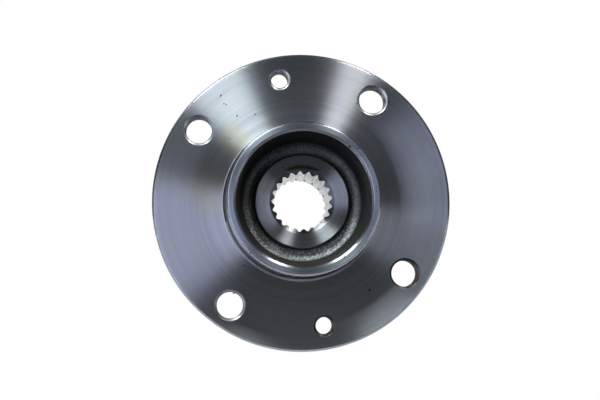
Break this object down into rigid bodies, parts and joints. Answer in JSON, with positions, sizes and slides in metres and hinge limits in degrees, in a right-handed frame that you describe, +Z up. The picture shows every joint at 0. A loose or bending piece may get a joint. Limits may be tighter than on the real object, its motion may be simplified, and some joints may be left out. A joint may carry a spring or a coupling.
{
  "type": "wheel hub bearing",
  "caption": "Flanged wheel hub with tapped holes, hollow centring spigot and internal spline, turning in a sealed double-row angular contact ball bearing.",
  "frame": {"origin": "centre of the flange's wheel face on the axle line, which is the centre of the wheel-bolt circle", "axes": "+Y along the axle from the wheel side to the knuckle side, +Z up, +X to the right seen from the wheel side"},
  "size_m": [0.119, 0.065, 0.119],
  "materials": {
    "hub_steel": "turned forged steel",
    "ring_steel": "ground bearing steel",
    "ball_steel": "polished bearing steel",
    "cage_polyamide": "glass-filled polyamide",
    "seal_steel": "pressed sheet steel",
    "seal_rubber": "moulded nitrile rubber",
    "clip_steel": "spring steel"
  },
  "bodies": {
    "outer_ring_set": {"outer_ring": "ring_steel", "seal_case_outboard": "seal_steel", "seal_lip_outboard": "seal_rubber", "seal_case_inboard": "seal_steel", "seal_lip_inboard": "seal_rubber"},
    "hub_set": {"wheel_hub": "hub_steel", "inner_ring_outboard": "ring_steel", "inner_ring_inboard": "ring_steel", "inner_ring_clip": "clip_steel", "slinger_outboard": "seal_steel", "slinger_inboard": "seal_steel"},
    "cage_outboard_set": {"cage_outboard": "cage_polyamide"},
    "ball_outboard_1_set": {"ball_outboard_1": "ball_steel"},
    "ball_outboard_2_set": {"ball_outboard_2": "ball_steel"},
    "ball_outboard_3_set": {"ball_outboard_3": "ball_steel"},
    "ball_outboard_4_set": {"ball_outboard_4": "ball_steel"},
    "ball_outboard_5_set": {"ball_outboard_5": "ball_steel"},
    "ball_outboard_6_set": {"ball_outboard_6": "ball_steel"},
    "ball_outboard_7_set": {"ball_outboard_7": "ball_steel"},
    "ball_outboard_8_set": {"ball_outboard_8": "ball_steel"},
    "ball_outboard_9_set": {"ball_outboard_9": "ball_steel"},
    "ball_outboard_10_set": {"ball_outboard_10": "ball_steel"},
    "ball_outboard_11_set": {"ball_outboard_11": "ball_steel"},
    "ball_outboard_12_set": {"ball_outboard_12": "ball_steel"},
    "ball_outboard_13_set": {"ball_outboard_13": "ball_steel"},
    "ball_outboard_14_set": {"ball_outboard_14": "ball_steel"},
    "cage_inboard_set": {"cage_inboard": "cage_polyamide"},
    "ball_inboard_1_set": {"ball_inboard_1": "ball_steel"},
    "ball_inboard_2_set": {"ball_inboard_2": "ball_steel"},
    "ball_inboard_3_set": {"ball_inboard_3": "ball_steel"},
    "ball_inboard_4_set": {"ball_inboard_4": "ball_steel"},
    "ball_inboard_5_set": {"ball_inboard_5": "ball_steel"},
    "ball_inboard_6_set": {"ball_inboard_6": "ball_steel"},
    "ball_inboard_7_set": {"ball_inboard_7": "ball_steel"},
    "ball_inboard_8_set": {"ball_inboard_8": "ball_steel"},
    "ball_inboard_9_set": {"ball_inboard_9": "ball_steel"},
    "ball_inboard_10_set": {"ball_inboard_10": "ball_steel"},
    "ball_inboard_11_set": {"ball_inboard_11": "ball_steel"},
    "ball_inboard_12_set": {"ball_inboard_12": "ball_steel"},
    "ball_inboard_13_set": {"ball_inboard_13": "ball_steel"},
    "ball_inboard_14_set": {"ball_inboard_14": "ball_steel"}
  },
  "joints": [
    {"name": "hub_spin", "type": "hinge", "parent": "outer_ring_set", "child": "hub_set", "pos_m": [0, 0, 0], "axis": [0, 1, 0], "continuous": true},
    {"name": "cage_outboard_orbit", "type": "hinge", "parent": "outer_ring_set", "child": "cage_outboard_set", "pos_m": [0, 0.0221, 0], "axis": [0, 1, 0], "continuous": true},
    {"name": "ball_outboard_1_roll", "type": "hinge", "parent": "cage_outboard_set", "child": "ball_outboard_1_set", "pos_m": [0.02725, 0.0221, 0], "axis": [-0.5878, 0.809, 0], "continuous": true},
    {"name": "ball_outboard_2_roll", "type": "hinge", "parent": "cage_outboard_set", "child": "ball_outboard_2_set", "pos_m": [0.02455, 0.0221, 0.01182], "axis": [-0.5296, 0.809, -0.255], "continuous": true},
    {"name": "ball_outboard_3_roll", "type": "hinge", "parent": "cage_outboard_set", "child": "ball_outboard_3_set", "pos_m": [0.01699, 0.0221, 0.0213], "axis": [-0.3665, 0.809, -0.4595], "continuous": true},
    {"name": "ball_outboard_4_roll", "type": "hinge", "parent": "cage_outboard_set", "child": "ball_outboard_4_set", "pos_m": [0.00606, 0.0221, 0.02657], "axis": [-0.1308, 0.809, -0.573], "continuous": true},
    {"name": "ball_outboard_5_roll", "type": "hinge", "parent": "cage_outboard_set", "child": "ball_outboard_5_set", "pos_m": [-0.00606, 0.0221, 0.02657], "axis": [0.1308, 0.809, -0.573], "continuous": true},
    {"name": "ball_outboard_6_roll", "type": "hinge", "parent": "cage_outboard_set", "child": "ball_outboard_6_set", "pos_m": [-0.01699, 0.0221, 0.0213], "axis": [0.3665, 0.809, -0.4595], "continuous": true},
    {"name": "ball_outboard_7_roll", "type": "hinge", "parent": "cage_outboard_set", "child": "ball_outboard_7_set", "pos_m": [-0.02455, 0.0221, 0.01182], "axis": [0.5296, 0.809, -0.255], "continuous": true},
    {"name": "ball_outboard_8_roll", "type": "hinge", "parent": "cage_outboard_set", "child": "ball_outboard_8_set", "pos_m": [-0.02725, 0.0221, 0], "axis": [0.5878, 0.809, 0], "continuous": true},
    {"name": "ball_outboard_9_roll", "type": "hinge", "parent": "cage_outboard_set", "child": "ball_outboard_9_set", "pos_m": [-0.02455, 0.0221, -0.01182], "axis": [0.5296, 0.809, 0.255], "continuous": true},
    {"name": "ball_outboard_10_roll", "type": "hinge", "parent": "cage_outboard_set", "child": "ball_outboard_10_set", "pos_m": [-0.01699, 0.0221, -0.0213], "axis": [0.3665, 0.809, 0.4595], "continuous": true},
    {"name": "ball_outboard_11_roll", "type": "hinge", "parent": "cage_outboard_set", "child": "ball_outboard_11_set", "pos_m": [-0.00606, 0.0221, -0.02657], "axis": [0.1308, 0.809, 0.573], "continuous": true},
    {"name": "ball_outboard_12_roll", "type": "hinge", "parent": "cage_outboard_set", "child": "ball_outboard_12_set", "pos_m": [0.00606, 0.0221, -0.02657], "axis": [-0.1308, 0.809, 0.573], "continuous": true},
    {"name": "ball_outboard_13_roll", "type": "hinge", "parent": "cage_outboard_set", "child": "ball_outboard_13_set", "pos_m": [0.01699, 0.0221, -0.0213], "axis": [-0.3665, 0.809, 0.4595], "continuous": true},
    {"name": "ball_outboard_14_roll", "type": "hinge", "parent": "cage_outboard_set", "child": "ball_outboard_14_set", "pos_m": [0.02455, 0.0221, -0.01182], "axis": [-0.5296, 0.809, 0.255], "continuous": true},
    {"name": "cage_inboard_orbit", "type": "hinge", "parent": "outer_ring_set", "child": "cage_inboard_set", "pos_m": [0, 0.0389, 0], "axis": [0, 1, 0], "continuous": true},
    {"name": "ball_inboard_1_roll", "type": "hinge", "parent": "cage_inboard_set", "child": "ball_inboard_1_set", "pos_m": [0.02657, 0.0389, 0.00606], "axis": [0.573, 0.809, 0.1308], "continuous": true},
    {"name": "ball_inboard_2_roll", "type": "hinge", "parent": "cage_inboard_set", "child": "ball_inboard_2_set", "pos_m": [0.0213, 0.0389, 0.01699], "axis": [0.4595, 0.809, 0.3665], "continuous": true},
    {"name": "ball_inboard_3_roll", "type": "hinge", "parent": "cage_inboard_set", "child": "ball_inboard_3_set", "pos_m": [0.01182, 0.0389, 0.02455], "axis": [0.255, 0.809, 0.5296], "continuous": true},
    {"name": "ball_inboard_4_roll", "type": "hinge", "parent": "cage_inboard_set", "child": "ball_inboard_4_set", "pos_m": [0, 0.0389, 0.02725], "axis": [0, 0.809, 0.5878], "continuous": true},
    {"name": "ball_inboard_5_roll", "type": "hinge", "parent": "cage_inboard_set", "child": "ball_inboard_5_set", "pos_m": [-0.01182, 0.0389, 0.02455], "axis": [-0.255, 0.809, 0.5296], "continuous": true},
    {"name": "ball_inboard_6_roll", "type": "hinge", "parent": "cage_inboard_set", "child": "ball_inboard_6_set", "pos_m": [-0.0213, 0.0389, 0.01699], "axis": [-0.4595, 0.809, 0.3665], "continuous": true},
    {"name": "ball_inboard_7_roll", "type": "hinge", "parent": "cage_inboard_set", "child": "ball_inboard_7_set", "pos_m": [-0.02657, 0.0389, 0.00606], "axis": [-0.573, 0.809, 0.1308], "continuous": true},
    {"name": "ball_inboard_8_roll", "type": "hinge", "parent": "cage_inboard_set", "child": "ball_inboard_8_set", "pos_m": [-0.02657, 0.0389, -0.00606], "axis": [-0.573, 0.809, -0.1308], "continuous": true},
    {"name": "ball_inboard_9_roll", "type": "hinge", "parent": "cage_inboard_set", "child": "ball_inboard_9_set", "pos_m": [-0.0213, 0.0389, -0.01699], "axis": [-0.4595, 0.809, -0.3665], "continuous": true},
    {"name": "ball_inboard_10_roll", "type": "hinge", "parent": "cage_inboard_set", "child": "ball_inboard_10_set", "pos_m": [-0.01182, 0.0389, -0.02455], "axis": [-0.255, 0.809, -0.5296], "continuous": true},
    {"name": "ball_inboard_11_roll", "type": "hinge", "parent": "cage_inboard_set", "child": "ball_inboard_11_set", "pos_m": [0, 0.0389, -0.02725], "axis": [0, 0.809, -0.5878], "continuous": true},
    {"name": "ball_inboard_12_roll", "type": "hinge", "parent": "cage_inboard_set", "child": "ball_inboard_12_set", "pos_m": [0.01182, 0.0389, -0.02455], "axis": [0.255, 0.809, -0.5296], "continuous": true},
    {"name": "ball_inboard_13_roll", "type": "hinge", "parent": "cage_inboard_set", "child": "ball_inboard_13_set", "pos_m": [0.0213, 0.0389, -0.01699], "axis": [0.4595, 0.809, -0.3665], "continuous": true},
    {"name": "ball_inboard_14_roll", "type": "hinge", "parent": "cage_inboard_set", "child": "ball_inboard_14_set", "pos_m": [0.02657, 0.0389, -0.00606], "axis": [0.573, 0.809, -0.1308], "continuous": true}
  ],
  "couplings": [
    {"joint": "cage_outboard_orbit", "follows": "hub_spin", "ratio": 0.42342},
    {"joint": "ball_outboard_1_roll", "follows": "hub_spin", "ratio": -2.5791},
    {"joint": "ball_outboard_2_roll", "follows": "hub_spin", "ratio": -2.5791},
    {"joint": "ball_outboard_3_roll", "follows": "hub_spin", "ratio": -2.5791},
    {"joint": "ball_outboard_4_roll", "follows": "hub_spin", "ratio": -2.5791},
    {"joint": "ball_outboard_5_roll", "follows": "hub_spin", "ratio": -2.5791},
    {"joint": "ball_outboard_6_roll", "follows": "hub_spin", "ratio": -2.5791},
    {"joint": "ball_outboard_7_roll", "follows": "hub_spin", "ratio": -2.5791},
    {"joint": "ball_outboard_8_roll", "follows": "hub_spin", "ratio": -2.5791},
    {"joint": "ball_outboard_9_roll", "follows": "hub_spin", "ratio": -2.5791},
    {"joint": "ball_outboard_10_roll", "follows": "hub_spin", "ratio": -2.5791},
    {"joint": "ball_outboard_11_roll", "follows": "hub_spin", "ratio": -2.5791},
    {"joint": "ball_outboard_12_roll", "follows": "hub_spin", "ratio": -2.5791},
    {"joint": "ball_outboard_13_roll", "follows": "hub_spin", "ratio": -2.5791},
    {"joint": "ball_outboard_14_roll", "follows": "hub_spin", "ratio": -2.5791},
    {"joint": "cage_inboard_orbit", "follows": "hub_spin", "ratio": 0.42342},
    {"joint": "ball_inboard_1_roll", "follows": "hub_spin", "ratio": -2.5791},
    {"joint": "ball_inboard_2_roll", "follows": "hub_spin", "ratio": -2.5791},
    {"joint": "ball_inboard_3_roll", "follows": "hub_spin", "ratio": -2.5791},
    {"joint": "ball_inboard_4_roll", "follows": "hub_spin", "ratio": -2.5791},
    {"joint": "ball_inboard_5_roll", "follows": "hub_spin", "ratio": -2.5791},
    {"joint": "ball_inboard_6_roll", "follows": "hub_spin", "ratio": -2.5791},
    {"joint": "ball_inboard_7_roll", "follows": "hub_spin", "ratio": -2.5791},
    {"joint": "ball_inboard_8_roll", "follows": "hub_spin", "ratio": -2.5791},
    {"joint": "ball_inboard_9_roll", "follows": "hub_spin", "ratio": -2.5791},
    {"joint": "ball_inboard_10_roll", "follows": "hub_spin", "ratio": -2.5791},
    {"joint": "ball_inboard_11_roll", "follows": "hub_spin", "ratio": -2.5791},
    {"joint": "ball_inboard_12_roll", "follows": "hub_spin", "ratio": -2.5791},
    {"joint": "ball_inboard_13_roll", "follows": "hub_spin", "ratio": -2.5791},
    {"joint": "ball_inboard_14_roll", "follows": "hub_spin", "ratio": -2.5791}
  ]
}
